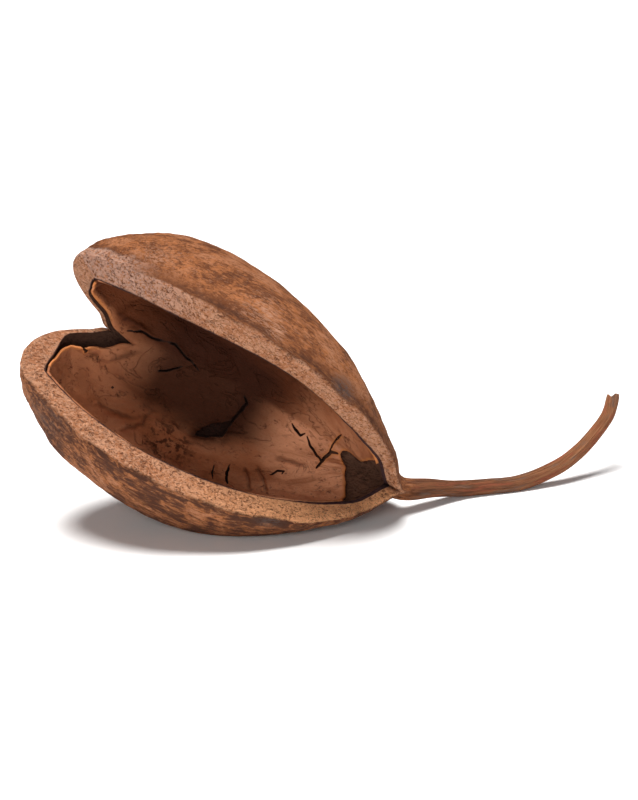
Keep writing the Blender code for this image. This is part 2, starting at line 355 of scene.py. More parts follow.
def stalk_path(share):
    """Centres and directions of the stalk, from 0 at the pod to 1 at the cut end, on a smooth curve."""
    stops = [TO_TIP * 0.010, np.zeros(3)] + [np.array(place) for place in STALK_RUN]
    stops = np.array(stops + [stops[-1] * 2 - stops[-2]])
    spans = len(stops) - 3
    position = np.clip(share, 0.0, 1.0) * spans
    span = np.minimum(position.astype(int), spans - 1)
    t = (position - span)[..., None]
    a, b, c, d = (stops[span + offset] for offset in range(4))
    bend = a * 2 - b * 5 + c * 4 - d
    twist = b * 3 - a - c * 3 + d
    centre = b + (c - a) * t / 2 + bend * t * t / 2 + twist * t**3 / 2
    heading = (c - a) / 2 + bend * t + twist * 1.5 * t * t
    return STALK_END_AT + centre, unit(heading)


def stalk_points(share, angle, side):
    centre, heading = stalk_path(share)
    front = unit(TO_FRONT - heading * (heading @ TO_FRONT)[..., None])
    upper = np.cross(front, heading)
    radius = STALK_RADIUS + (NECK_RADIUS - STALK_RADIUS) * (1 - smooth(share / 0.2))
    radius = radius + (STALK_END_RADIUS - STALK_RADIUS) * smooth((share - 0.3) / 0.7)
    ring = front * np.cos(angle)[..., None] + upper * side * np.sin(angle)[..., None]
    points = centre + ring * radius[..., None]
    points[..., 2] = np.maximum(points[..., 2], 0.0)
    return points


def fields_at(along, angle, side, across, split, share):
    """What is noted on each corner. The valve is 1 on the upper one and -1 on the lower, with 0 between."""
    valve = side * smooth((math.pi - angle) / 0.3) * smooth(along / 0.03)
    fields = {"across": across, "split": split, "share": share}
    fields |= {"along": along, "round": angle, "valve": valve}
    return {name: np.broadcast_to(np.asarray(values, float), along.shape) for name, values in fields.items()}


def skin_patch(u, v, side):
    """The outer surface: u from the stalk's cut end to the tip, v round the valve."""
    step = u * (STALK_RINGS + POD_RINGS) - STALK_RINGS
    along = ring_at(np.maximum(step, 0.0))
    angle = side_angle(v)
    grown = skin_points(along, angle, side)
    pod = pressed(opened(grown, along, angle, side))
    share = np.maximum(-step / STALK_RINGS, 0.0)
    stalk = stalk_points(share, angle, side)
    ring = NECK_RADIUS * np.stack([0 * u, np.cos(angle), side * np.sin(angle)], -1)
    stalk_grown = ring - share[:, None] * np.array((STALK_LENGTH, 0, 0))
    from_split = np.hypot(sharp_skin_points(along, angle, side)[1], share * STALK_LENGTH)
    whole_back = np.hypot(from_split, np.maximum(NOTCH_AT - along, 0) * POD_LENGTH)
    from_split = np.where(np.cos(angle) < 0, whole_back, from_split)
    fields = fields_at(along, angle, side, across=0, split=-from_split, share=share)
    on_stalk = (step < 0)[:, None]
    return np.where(on_stalk, stalk, pod), np.where(on_stalk, stalk_grown, grown), fields


def hollow_patch(u, v, side):
    along = ring_at(u * POD_RINGS)
    angle = side_angle(v)
    grown = hollow_points(along, angle, side)
    fields = fields_at(along, angle, side, across=1, split=RIM_WALL, share=0)
    return opened(grown, along, angle, side), grown, fields


def rim_patch(u, v, side, first_ring, angle):
    """A split face: u along it from first_ring to the tip, v from the skin to the hollow."""
    along = ring_at(first_ring + u * (POD_RINGS - first_ring))
    angle = np.full_like(u, angle)
    across = 0.5 * smooth(v) + 0.5 * v
    skin = skin_points(along, angle, side)
    hollow = hollow_points(along, angle, side)
    outer = pressed(opened(skin, along, angle, side))
    inner = opened(hollow, along, angle, side)
    width = np.linalg.norm(inner - outer, axis=-1)
    fields = fields_at(along, angle, side, across, split=across * width, share=0)
    share = across[:, None]
    return outer + (inner - outer) * share, skin + (hollow - skin) * share, fields


def side_angle(v):
    return math.pi * (0.6 * smooth(v) + 0.4 * v)


def add_patch(mesh, columns, rows, patch):
    """Add a grid to the mesh, put its corners where the patch says and note the patch's fields on them."""
    grid = bmesh.ops.create_grid(mesh, x_segments=columns, y_segments=rows, size=0.5)["verts"]
    u = np.array([round((vert.co.x + 0.5) * columns) / columns for vert in grid])
    v = np.array([round((vert.co.y + 0.5) * rows) / rows for vert in grid])
    places, grown, fields = patch(u, v)
    grown_layer = mesh.verts.layers.float_vector["grown"]
    for vert, place, origin in zip(grid, places, grown):
        vert.co = place
        vert[grown_layer] = origin
    for name, values in fields.items():
        layer = mesh.verts.layers.float[name]
        for vert, value in zip(grid, values):
            vert[layer] = value


def new_sheet_mesh():
    mesh = bmesh.new()
    mesh.verts.layers.float_vector.new("grown")
    for name in ("across", "split", "share", "along", "round", "valve"):
        mesh.verts.layers.float.new(name)
    return mesh


def field(data, name):
    values = np.zeros(len(data.vertices) * (3 if name == "grown" else 1), np.float32)
    data.attributes[name].data.foreach_get("vector" if name == "grown" else "value", values)
    return values.reshape(-1, 3) if name == "grown" else values


def add_field(data, name, values):
    data.attributes.new(name, "FLOAT", "POINT").data.foreach_set("value", values.astype(np.float32))


def corners(data):
    places = np.zeros(len(data.vertices) * 3, np.float32)
    data.vertices.foreach_get("co", places)
    normals = np.zeros(len(data.vertices) * 3, np.float32)
    data.vertex_normals.foreach_get("vector", normals)
    return places.reshape(-1, 3).astype(float), normals.reshape(-1, 3).astype(float)


def move_corners(data, places):
    data.vertices.foreach_set("co", places.astype(np.float32).ravel())
    data.update()


def grain(points, stretch, seed):
    """Smooth noise from -1 to 1 at points divided by the stretch, in metres along each axis."""
    points = points / np.array(stretch) + seed
    return np.array([noise.noise(Vector(point)) for point in points])


def to_object(mesh, name):
    data = bpy.data.meshes.new(name)
    mesh.to_mesh(data)
    mesh.free()
    data.shade_smooth()
    piece = bpy.data.objects.new(name, data)
    bpy.context.scene.collection.objects.link(piece)
    return piece


shell_mesh = new_sheet_mesh()
for side in (1, -1):
    add_patch(shell_mesh, STALK_RINGS + POD_RINGS, VALVE_SIDES, lambda u, v: skin_patch(u, v, side))
    add_patch(shell_mesh, POD_RINGS, HOLLOW_SIDES, lambda u, v: hollow_patch(u, v, side))
    add_patch(shell_mesh, POD_RINGS, RIM_ROWS, lambda u, v: rim_patch(u, v, side, 0, 0.0))
    add_patch(
        shell_mesh,
        POD_RINGS - NOTCH_RING,
        RIM_ROWS,
        lambda u, v: rim_patch(u, v, side, NOTCH_RING, math.pi),
    )
bmesh.ops.remove_doubles(shell_mesh, verts=shell_mesh.verts, dist=WELD)
bmesh.ops.dissolve_degenerate(shell_mesh, dist=WELD, edges=shell_mesh.edges)
cut_end = [edge for edge in shell_mesh.edges if edge.is_boundary]
cap = bmesh.ops.holes_fill(shell_mesh, edges=cut_end, sides=0)["faces"]
centre = bmesh.ops.poke(shell_mesh, faces=cap)["verts"][0]
centre[shell_mesh.verts.layers.float["share"]] = 0.97
bmesh.ops.recalc_face_normals(shell_mesh, faces=shell_mesh.faces)
pod = to_object(shell_mesh, "pod")

places, normals = corners(pod.data)
grown = field(pod.data, "grown")
along = field(pod.data, "along")
across = field(pod.data, "across")
split = field(pod.data, "split")
share = field(pod.data, "share")
angle = field(pod.data, "round")
valve = field(pod.data, "valve")
on_stalk = smooth(share / STALK_FADE)
on_skin = smooth(-split / 0.0015) * (1 - on_stalk)
on_split = smooth(split / 0.0010) * smooth((1 - across) / 0.15)
on_wall = across > 0.999
lumps = grain(grown, (0.024, 0.016, 0.016), 3.1)
dents = grain(grown, (0.010, 0.006, 0.006), 5.9)
ridges = grain(grown, (0.016, 0.0030, 0.0030), 7.7)
fibres = grain(grown, (0.0050, 0.0012, 0.0012), 12.3)
grit = grain(grown, (0.0013, 0.0013, 0.0013), 21.9)
waves = grain(grown, (0.006, 0.006, 0.006), 30.5)
lift = on_skin * (SKIN_LUMPS * lumps + SKIN_DENTS * dents + SKIN_RIDGES * ridges + SKIN_FIBRES * fibres)
lift += on_split * (SPLIT_GRIT * grit + SPLIT_WAVES * waves)
lift += on_stalk * (STALK_RIDGES * ridges + STALK_FIBRES * fibres)
lift += on_wall * (WALL_WAVES * waves + WALL_GRIT * grit)

# A dried groove runs beside the corner of each split face, and the seam runs on into the stalk.
lower_groove = fading(split + 0.0015, 0.0006) * within(along, 0.22, 0.74, 0.1)
lift -= LOWER_GROOVE_DEPTH * lower_groove * (valve < -0.5)
upper_groove = fading(split + 0.0026, 0.0009) * within(along, 0.12, 0.80, 0.1)
lift -= UPPER_GROOVE_DEPTH * upper_groove * (valve > 0.5)
seam = fading(angle, 0.30) * (1 - smooth(share / 0.10)) * (along < 0.001)
lift -= SEAM_DEPTH * seam * (share > 0)
lift *= smooth(places[:, 2] / FLAT_BELOW)
places += normals * lift[:, None]

# The cut end of the stalk is left as two prongs with a groove between them.
end_centre, heading = (vectors[0] for vectors in stalk_path(np.array([1.0])))
rightward = (places[:, 0] - end_centre[0]) / STALK_END_RADIUS
prongs = smooth(np.abs(rightward - PRONG_GROOVE_AT) / PRONG_GROOVE_REACH) * (1 + 0.3 * rightward) - 0.4
prongs *= smooth((share - PRONGS_FROM) / (1 - PRONGS_FROM))
places += heading * (prongs * PRONG_HEIGHT)[:, None]
move_corners(pod.data, np.clip(places, *np.array(cad_box)))


class Wire:
    """One output of a material's nodes. Sums and products on wires add Math nodes."""

    def __init__(self, finish, socket):
        self.finish = finish
        self.socket = socket

    def math(self, operation, left, right):
        return self.finish.node("ShaderNodeMath", {0: left, 1: right}, operation=operation)

    def __add__(self, other):
        return self.math("ADD", self, other)

    def __sub__(self, other):
        return self.math("SUBTRACT", self, other)

    def __rsub__(self, other):
        return self.math("SUBTRACT", other, self)

    def __mul__(self, other):
        return self.math("MULTIPLY", self, other)

    def or_more(self, other):
        return self.math("MAXIMUM", self, other)


class Finish:
    """A surface finish: a material's nodes round its Principled shader."""

    def __init__(self, name):
        self.material = bpy.data.materials.new(name)
        self.material.use_nodes = True
        self.tree = self.material.node_tree
        self.shader = self.tree.nodes["Principled BSDF"]

    def node(self, kind, inputs, output=0, **settings):
        made = self.tree.nodes.new(kind)
        for name, value in settings.items():
            setattr(made, name, value)
        for name, value in inputs.items():
            if isinstance(value, Wire):
                self.tree.links.new(value.socket, made.inputs[name])
            else:
                made.inputs[name].default_value = value
        return Wire(self, made.outputs[output])

    def attribute(self, name, output="Fac"):
        return self.node("ShaderNodeAttribute", {}, output, attribute_name=name)

    def stretched(self, vector, scale):
        return self.node("ShaderNodeMapping", {"Vector": vector, "Scale": scale})

    def noise(self, vector, scale, detail=4.0, roughness=0.6, distortion=0.0):
        inputs = {"Vector": vector, "Scale": scale, "Detail": detail}
        inputs |= {"Roughness": roughness, "Distortion": distortion}
        return self.node("ShaderNodeTexNoise", inputs)

    def between(self, value, low, high):
        """0 below low, 1 above high, and a smooth step between."""
        inputs = {"Value": value, "From Min": low, "From Max": high}
        return self.node("ShaderNodeMapRange", inputs, interpolation_type="SMOOTHSTEP")

    def near(self, vector, place, reach):
        """1 at a place, falling to 0 at its reach."""
        away = self.node("ShaderNodeVectorMath", {0: vector, 1: place}, 1, operation="DISTANCE")
        return self.between(away, reach, reach * 0.15)

    def mix(self, share, first, second):
        return self.node("ShaderNodeMix", {0: share, 6: first, 7: second}, 2, data_type="RGBA")

    def use(self, name, wire):
        self.tree.links.new(wire.socket, self.shader.inputs[name])

    def bump(self, height, distance, strength=1.0):
        inputs = {"Height": height, "Distance": distance, "Strength": strength}
        self.use("Normal", self.node("ShaderNodeBump", inputs))


SKIN_RUST = (0.440, 0.158, 0.058, 1)
SKIN_DARK = (0.165, 0.055, 0.022, 1)
SKIN_FLECK = (0.075, 0.030, 0.018, 1)
SKIN_WORN = (0.480, 0.240, 0.145, 1)
SKIN_GREY = (0.095, 0.070, 0.062, 1)
SPLIT_TAN = (0.450, 0.180, 0.084, 1)
SPLIT_PALE = (0.620, 0.315, 0.185, 1)
SPLIT_ORANGE_LIT = (0.860, 0.400, 0.185, 1)
SPLIT_GREY = (0.520, 0.325, 0.265, 1)
SPLIT_SPECK = (0.120, 0.038, 0.020, 1)
INNER_CORNER_SHADE = (0.055, 0.024, 0.024, 1)
BARE_WALL_SHADED = (0.032, 0.013, 0.009, 1)
BARE_WALL_PALE = (0.205, 0.100, 0.062, 1)
STALK_DARK = (0.120, 0.048, 0.026, 1)
STALK_BROWN = (0.255, 0.098, 0.044, 1)
STALK_LIGHT = (0.380, 0.165, 0.078, 1)
STALK_RED = (0.340, 0.095, 0.050, 1)
STALK_GREY = (0.190, 0.120, 0.090, 1)

# Places where the skin is worn pale or greyed, and how far each reaches.
WORN_PLACES = [
    ((0.117, 0.018, 0.009), 0.010),
    ((0.080, 0.032, 0.007), 0.012),
    ((0.074, 0.033, 0.004), 0.006),
]
GREY_BY_CORNER = (0.044, 0.032, 0.002)
GREY_AT_TIP = (0.122, 0.014, -0.006)

bark = Finish("pod_bark")
grown_at = bark.attribute("grown", "Vector")
split = bark.attribute("split")
across = bark.attribute("across")
valve = bark.attribute("valve")
along = bark.attribute("along")
share = bark.attribute("share")

# Skin: streaks, flecks and fuzz along the pod, worn pale and greyed places, and a darker band over the upper
# split face.
streaks = bark.noise(bark.stretched(grown_at, (0.28, 1, 1)), 640, 7, 0.70, 0.8)
patches = bark.noise(bark.stretched(grown_at, (0.55, 1, 1)), 110, 5, 0.62, 0.6)
fuzz = bark.noise(bark.stretched(grown_at, (0.35, 1, 1)), 1350, 6, 0.80, 0.8)
tone = streaks * 0.55 + patches * 0.45
skin_colour = bark.mix(bark.between(tone, 0.43, 0.56), SKIN_DARK, SKIN_RUST)
hairs = bark.noise(bark.stretched(grown_at, (0.12, 1, 1)), 1700, 3, 0.7, 1.2)
skin_colour = bark.mix(bark.between(hairs, 0.54, 0.66) * 0.45, skin_colour, SKIN_WORN)
skin_colour = bark.mix((1 - bark.between(fuzz, 0.40, 0.52)) * 0.65, skin_colour, SKIN_FLECK)
worn = bark.between(patches, 0.52, 0.68) * bark.between(fuzz, 0.40, 0.58) * 0.55
for worn_at, reach in WORN_PLACES:
    worn = worn + bark.near(grown_at, worn_at, reach) * bark.between(hairs, 0.46, 0.58) * 0.7
skin_colour = bark.mix(worn, skin_colour, SKIN_WORN)
band = bark.between(split, -0.0085, -0.0030) * bark.between(valve, 0.2, 0.8)
band = band * bark.between(patches, 0.35, 0.55)
skin_colour = bark.mix(band * 0.65, skin_colour, SKIN_DARK)
below = bark.between(valve, -0.2, -0.9) * bark.between(tone, 0.58, 0.42)
skin_colour = bark.mix(below * 0.85, skin_colour, SKIN_FLECK)
# Painted shade in the dried groove beside the outer corner of each split face.
groove_shade = bark.between(split, -0.0042, -0.0026) * bark.between(split, -0.0010, -0.0020)
groove_shade = groove_shade * bark.between(along, 0.08, 0.20) * bark.between(along, 0.86, 0.72)
skin_colour = bark.mix(groove_shade * bark.between(streaks, 0.62, 0.42) * 0.8, skin_colour, SKIN_FLECK)
grey = bark.near(grown_at, GREY_BY_CORNER, 0.008) * bark.between(fuzz, 0.38, 0.58) * 0.9
grey = grey + bark.near(grown_at, GREY_AT_TIP, 0.013) * bark.between(patches, 0.38, 0.58) * 0.6
skin_colour = bark.mix(grey, skin_colour, SKIN_GREY)

# Split face: pale and granular with dark specks and pits, rounded over at its outer corner.
specks = bark.noise(bark.stretched(grown_at, (0.6, 1, 1)), 1150, 4, 0.72, 1.6)
grains = bark.noise(grown_at, 900, 4, 0.72)
stains = bark.noise(grown_at, 190, 3, 0.6)
split_colour = bark.mix(bark.between(grains * 0.7 + stains * 0.3, 0.42, 0.58), SPLIT_TAN, SPLIT_PALE)
pits = 1 - bark.between(specks, 0.38, 0.46)
# Painted light: the lower split face towards the stalk, which the upper valve shades, is lightened, with a
# warmer tint.
lower_split_painted_light = bark.between(along, 0.72, 0.20) * bark.between(valve, 0.0, -0.8) * bark.between(grains, 0.30, 0.50)
split_colour = bark.mix(lower_split_painted_light * 0.85, split_colour, SPLIT_ORANGE_LIT)
greyed = bark.between(along, 0.66, 0.92) * bark.between(valve, -0.2, 1.0) * bark.between(grains, 0.36, 0.54)
split_colour = bark.mix(greyed * 0.6, split_colour, SPLIT_GREY)
split_colour = bark.mix(pits * 0.85, split_colour, SPLIT_SPECK)
# Painted shade along the split face's inner corner by the lining, wider towards the stalk.
by_stalk = bark.between(along, 0.30, 0.02)
inner_corner_shade = bark.between(across + by_stalk * 0.26 + (grains - 0.5) * 0.08, 0.90, 0.985)
split_colour = bark.mix(inner_corner_shade, split_colour, INNER_CORNER_SHADE)
wander = (patches - 0.5) * 0.004 + (fuzz - 0.5) * 0.0012
on_split = bark.between(split + wander, -0.0012, -0.0004)
at_tip = bark.between(along, 0.82, 0.95) * bark.between(split + wander * 2, -0.0052, -0.0040)
on_split = on_split.or_more(at_tip * bark.between(valve, 0.2, 0.8))
colour = bark.mix(on_split, skin_colour, split_colour)

# Bare wall of the hollow, dark brown deepened with painted shade, paler by the stalk, and the stalk with its
# long fibres.
bare = bark.between(along, 0.20, 0.12).or_more(bark.between(along, 0.72, 0.82) * 0.35)
wall = bark.mix(bare * bark.between(streaks, 0.25, 0.55), BARE_WALL_SHADED, BARE_WALL_PALE)
colour = bark.mix(bark.between(across, 0.985, 0.999), colour, wall)
strands = bark.noise(bark.stretched(grown_at, (0.07, 1, 1)), 1500, 4, 0.65)
tinges = bark.noise(bark.stretched(grown_at, (0.25, 1, 1)), 420, 3, 0.6)
by_pod = bark.between(share + (stains - 0.5) * 0.3, 0.75, 0.10)
stalk_dark = bark.mix(by_pod, STALK_BROWN, STALK_DARK)
stalk_light = bark.mix(by_pod, STALK_LIGHT, STALK_BROWN)
stalk_colour = bark.mix(bark.between(strands, 0.38, 0.62), stalk_dark, stalk_light)
stalk_colour = bark.mix(bark.between(tinges, 0.52, 0.66) * 0.7, stalk_colour, STALK_RED)
stalk_colour = bark.mix(bark.between(tinges, 0.46, 0.32) * 0.7, stalk_colour, STALK_GREY)
colour = bark.mix(bark.between(share + (streaks - 0.5) * 0.05, 0.01, 0.06), colour, stalk_colour)
bark.use("Base Color", colour)
bark.shader.inputs["Roughness"].default_value = 0.88
bark.shader.inputs["Specular IOR Level"].default_value = 0.12
relief = streaks * 0.6 + fuzz * 0.5 + hairs * 0.3 + (grains * 0.7 - pits * 0.7) * on_split
bark.bump(relief + strands * bark.between(share, 0.0, STALK_FADE), 0.0016)
pod.data.materials.append(bark.material)
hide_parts("pod_shell")
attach(pod, "root")

# The lining, a thin papery sheet in the hollow that has dried, shrunk and cracked. It has torn from the
# notch inwards, has a torn hole in the lower valve, and has broken off by the stalk, where the wall is bare.
LINING_GAP = 0.0004
LINING_THICKNESS = 0.0008
LINING_FRONT_EDGE = 0.040
LINING_BACK_EDGE = 0.13
UPPER_BACK_EDGE = 0.035
LOWER_STALK_EDGE = 0.082
UPPER_STALK_EDGE = 0.055
BACK_STALK_EDGE = 0.110
LINING_TIP_EDGE = 0.997
LINING_TEAR_AT = 0.750
LINING_TEAR_REACH = 0.06
LINING_NOTCH_LIFT = 0.0010
NOTCH_LIFT_AT = 0.60
NOTCH_LIFT_REACH = 0.20
CURL_END = 0.98
CURL_FADE = 0.08
LINING_RINGS = 160
LINING_SIDES = 84
NORMAL_STEP = 0.0005
HIDDEN_CRACKS = 7
FINE_WITHIN = 0.0014
CRACK_OPEN_BELOW = -0.00005
EDGE_SMOOTHINGS = 3

# Heights of the sheet's bulges, folds and curled edges, and how far it may sink.
SHEET_RISE = 0.00045
SHEET_BULGES = 0.00095
SHEET_WRINKLES = 0.00042
SHEET_CRUMPLES = 0.00007
FRAYED_CRUMPLES = 0.0006
FRAYED_WRINKLES = 0.0014
BULGE_HEIGHT = 0.0022
FOLD_HEIGHT = 0.0011
CRACK_CURL = 0.00030
BACK_CURL = 0.0009
BACK_CURL_WAVES = 0.0014
SHEET_SINK = 0.0003

# Cracks by the half width of the gap, with the picture's pixels that they run through.
CRACKS = {
    "long_tear": (
        0.00042,
        [(127, 331), (141, 331), (153, 338), (175, 344), (186, 357), (192, 361), (198, 370)],
    ),
    "back_crack": (0.00046, [(157, 369), (165, 370), (174, 368), (182, 365)]),
    "hook": (0.00040, [(292, 423), (295, 429), (300, 435), (305, 433)]),
    "long_branch": (0.00036, [(307, 436), (311, 447), (317, 456), (322, 462)]),
    "upper_branch": (0.00028, [(343, 433), (336, 440), (332, 446), (330, 451)]),
    "cross_branch": (0.00050, [(338, 454), (331, 452), (326, 457), (321, 463), (317, 469)]),
    "flap": (0.00030, [(270, 475), (277, 471), (284, 471), (282, 474)]),
    "front_split": (0.00042, [(230, 464), (226, 474), (227, 486)]),
    "thin_split": (0.00022, [(214, 466), (212, 474), (213, 480)]),
    "risen_tear": (0.00055, [(226, 428), (237, 414), (247, 403), (244, 395)]),
    "corner_pinch": (0.00050, [(81, 345), (84, 347), (83, 350)]),
    "bored_hole": (0.00050, [(112, 386), (112, 388)]),
}

# The outline of the torn hole, the folds, the frayed and bulging places and the middle of the sheet, in the
# picture's pixels, and how far from the camera the notch lies.
TORN_HOLE = [
    (195, 434),
    (201, 426),
    (208, 424),
    (214, 421),
    (222, 422),
    (229, 419),
    (231, 425),
    (222, 436),
    (206, 437),
]
FOLDS = [
    [(71, 398), (96, 404), (114, 414), (130, 418), (140, 417)],
    [(118, 429), (132, 428), (140, 425), (144, 417), (155, 409)],
    [(84, 349), (100, 356), (120, 357), (140, 351)],
    [(97, 290), (108, 303), (120, 315), (133, 322), (150, 332)],
    [(244, 468), (247, 480), (249, 492)],
    [(257, 468), (262, 480), (266, 494)],
    [(275, 458), (291, 462), (306, 467)],
]
FRAYED_AT = (168, 442)
BULGE_AT = (137, 341)
SHEET_MIDDLE = (260, 480)
NOTCH_DISTANCE = 0.895


def lining_patch(u, v, side):
    """The sheet's inner face, with ragged edges by the stalk, under the split faces and at the tear."""
    turn = side * (1 - v)
    lower = LOWER_STALK_EDGE + (BACK_STALK_EDGE - LOWER_STALK_EDGE) * (2 * v - 1) ** 2
    upper = UPPER_STALK_EDGE + (BACK_STALK_EDGE - UPPER_STALK_EDGE) * smooth((v - 0.8) / 0.2)
    ragged = grain(np.stack([turn, 0 * v, 0 * v], -1), (0.13, 1, 1), 1.7)
    ragged += 0.5 * grain(np.stack([turn, 0 * v, 0 * v], -1), (0.035, 1, 1), 8.2)
    start = (upper if side > 0 else lower) + 0.008 * ragged
    along = start + (LINING_TIP_EDGE - start) * u
    frayed = grain(np.stack([along, 0 * u, 0 * u + side], -1), (0.030, 1, 1), 4.4)
    back_edge = UPPER_BACK_EDGE if side > 0 else LINING_BACK_EDGE
    torn = back_edge * smooth((along - LINING_TEAR_AT) / LINING_TEAR_REACH) * (1 + 0.35 * frayed)
    front = LINING_FRONT_EDGE * (1 + 0.4 * frayed)
    angle = front + (math.pi - torn - front) * v
    here = hollow_points(along, angle, side)
    ahead = hollow_points(along + NORMAL_STEP, angle, side)
    forward = ahead - hollow_points(along - NORMAL_STEP, angle, side)
    sideways = here - hollow_points(along, angle - NORMAL_STEP, side)
    inward = unit(np.cross(forward, sideways))
    inward *= np.sign(((here * (1, 0, 0) - here) * inward).sum(-1, keepdims=True))
    inward[:, 2] *= angle < math.pi - 0.002
    near_notch = smooth((along - NOTCH_LIFT_AT) / NOTCH_LIFT_REACH) * smooth((angle - 2.2) / 0.6)
    if side > 0:
        edge_fade = (LINING_TEAR_AT + LINING_TEAR_REACH - along) / LINING_TEAR_REACH
    else:
        edge_fade = (CURL_END - along) / CURL_FADE
    off = LINING_GAP + LINING_THICKNESS + LINING_NOTCH_LIFT * near_notch * smooth(edge_fade)
    fields = fields_at(along, angle, side, across=v, split=0, share=0)
    return opened(here + unit(inward) * off[:, None], along, angle, side), here, fields


def beside(route, points):
    """Distance of points from a route, and the share of the route at which each comes nearest."""
    lengths = np.linalg.norm(route[1:] - route[:-1], axis=1)
    travelled = np.concatenate([[0], np.cumsum(lengths)]) / lengths.sum()
    best = np.full(len(points), np.inf)
    nearest_at = np.zeros(len(points))
    for start, end, length, first, last in zip(route, route[1:], lengths, travelled, travelled[1:]):
        t = np.clip((points - start) @ (end - start) / length**2, 0, 1)
        away = np.linalg.norm(points - start - t[:, None] * (end - start), axis=1)
        nearest_at = np.where(away < best, first + (last - first) * t, nearest_at)
        best = np.minimum(away, best)
    return best, nearest_at


def on_lining(pixels):
    """Places on the sheet seen through pixels of the picture, or nearest to that line where it is torn."""
    places = []
    for pixel in pixels:
        seen = lining_tree.ray_cast(EYE_AT, sight(*pixel))[0]
        places.append(seen or lining_tree.find_nearest(EYE_AT + sight(*pixel) * NOTCH_DISTANCE)[0])
    return np.array(places)


lining_mesh = new_sheet_mesh()
for side in (1, -1):
    add_patch(lining_mesh, LINING_RINGS, LINING_SIDES, lambda u, v: lining_patch(u, v, side))
bmesh.ops.remove_doubles(lining_mesh, verts=lining_mesh.verts, dist=WELD)
bmesh.ops.recalc_face_normals(lining_mesh, faces=lining_mesh.faces)
lining_tree = BVHTree.FromBMesh(lining_mesh)
middle, facing = lining_tree.ray_cast(EYE_AT, sight(*SHEET_MIDDLE))[:2]
if facing.dot(EYE_AT - middle) < 0:
    bmesh.ops.reverse_faces(lining_mesh, faces=lining_mesh.faces)
lining_tree = BVHTree.FromBMesh(lining_mesh)
routes = {name: (width, on_lining(pixels)) for name, (width, pixels) in CRACKS.items()}
folds = [on_lining(pixels) for pixels in FOLDS]
hole_outline = on_lining(TORN_HOLE + TORN_HOLE[:1])

# The upper valve, which the picture hides, has cracks of its own that wander along it.
chance = np.random.default_rng(5)
for number in range(HIDDEN_CRACKS):
    along, angle, heading = chance.uniform((0.15, 0.5, 0), (0.75, 2.2, 6.3))
    stops = []
    for stop in range(5):
        stops.append((along, angle))
        heading += chance.uniform(-0.7, 0.7)
        along += 0.022 * math.cos(heading)
        angle += 0.14 * math.sin(heading)
    stops = np.array(stops)
    along, angle = np.clip(stops[:, 0], 0.1, 0.9), np.clip(stops[:, 1], 0.3, 2.8)
    here = hollow_points(along, angle, 1)
    places = opened(here * (1, 0.95, 0.95), along, angle, 1)
    route = np.array([lining_tree.find_nearest(Vector(place))[0] for place in places])
    routes[f"hidden_{number}"] = (chance.uniform(0.00022, 0.00045), route)

# The sheet is divided finely round the cracks and the hole, so that their edges can be cut.
centres = np.array([face.calc_center_median() for face in lining_mesh.faces])
near_crack = np.full(len(centres), np.inf)
for route in [route for width, route in routes.values()] + folds + [hole_outline]:
    near_crack = np.minimum(near_crack, beside(route, centres)[0])
near_faces = [face for face, away in zip(lining_mesh.faces, near_crack) if away < FINE_WITHIN]
fine = {edge for face in near_faces for edge in face.edges}
bmesh.ops.subdivide_edges(lining_mesh, edges=list(fine), cuts=2, use_grid_fill=True)
lining = to_object(lining_mesh, "lining")

places, normals = corners(lining.data)
grown = field(lining.data, "grown")
along = field(lining.data, "along")
angle = field(lining.data, "round")
valve = field(lining.data, "valve")
wobble = np.stack([grain(places, (0.0022, 0.0022, 0.0022), seed) for seed in (1.3, 4.1, 9.6)], -1)
ragged_places = places + 0.00028 * wobble
crack = np.full(len(places), 0.01)
for width, route in routes.values():
    away, share = beside(route, ragged_places)
    taper = 0.25 + 0.75 * np.sqrt(np.maximum(4 * share * (1 - share), 0))
    crack = np.minimum(crack, away - width * taper)

# The torn hole is what lies inside its outline as the picture shows it.
from_eye = places + 0.0007 * wobble - np.array(EYE_AT)
depth = from_eye @ np.array(EYE_AHEAD)
seen_x = PICTURE_WIDTH / 2 + FOCAL_PIXELS * from_eye[:, 0] / depth
seen_y = PICTURE_HEIGHT / 2 - FOCAL_PIXELS * (from_eye @ np.array(EYE_ABOVE)) / depth
inside = np.zeros(len(places), bool)
for (x1, y1), (x2, y2) in zip(TORN_HOLE, TORN_HOLE[1:] + TORN_HOLE[:1]):
    crosses = (y1 > seen_y) != (y2 > seen_y)
    inside ^= crosses & (seen_x < x1 + (x2 - x1) * (seen_y - y1) / ((y2 - y1) or 1))
inside &= (valve < -0.1) & (angle > 1.2)
hole_edge = beside(hole_outline, ragged_places)[0]
crack = np.minimum(crack, np.where(inside, -hole_edge, hole_edge))
# Painted shade round the torn hole and the risen tear.
tear_edge = beside(routes["risen_tear"][1], places)[0]
shade_round_tears = fading(np.minimum(np.where(inside, 0, hole_edge), tear_edge), 0.0026)

fold = np.zeros(len(places))
for route in folds:
    away, share = beside(route, places + 0.0004 * wobble)
    fold = np.maximum(fold, fading(away, 0.0007) * np.minimum(1, 6 * share * (1 - share) + 0.3))
frayed = smooth(1.3 - np.linalg.norm(places - on_lining([FRAYED_AT]), axis=1) / 0.0100)
bulge = smooth(1 - np.linalg.norm(places - on_lining([BULGE_AT]), axis=1) / 0.0060)
bulges = grain(grown, (0.018, 0.012, 0.012), 2.9)
wrinkles = grain(grown, (0.0050, 0.0022, 0.0022), 6.3)
crumples = grain(grown, (0.0016, 0.0009, 0.0009), 14.8)
back_edge = smooth((angle - 2.45) / 0.5) * smooth((along - LINING_TEAR_AT) / 0.07)
back_edge *= smooth((CURL_END - along) / CURL_FADE)
edge_share = smooth((angle - LINING_FRONT_EDGE) / 0.12) * smooth((LINING_TIP_EDGE - along) / 0.03)
upper_tear = smooth((angle - 2.6) / 0.5) * smooth((along - LINING_TEAR_AT) / LINING_TEAR_REACH)
edge_share *= 1 - (valve > 0) * upper_tear
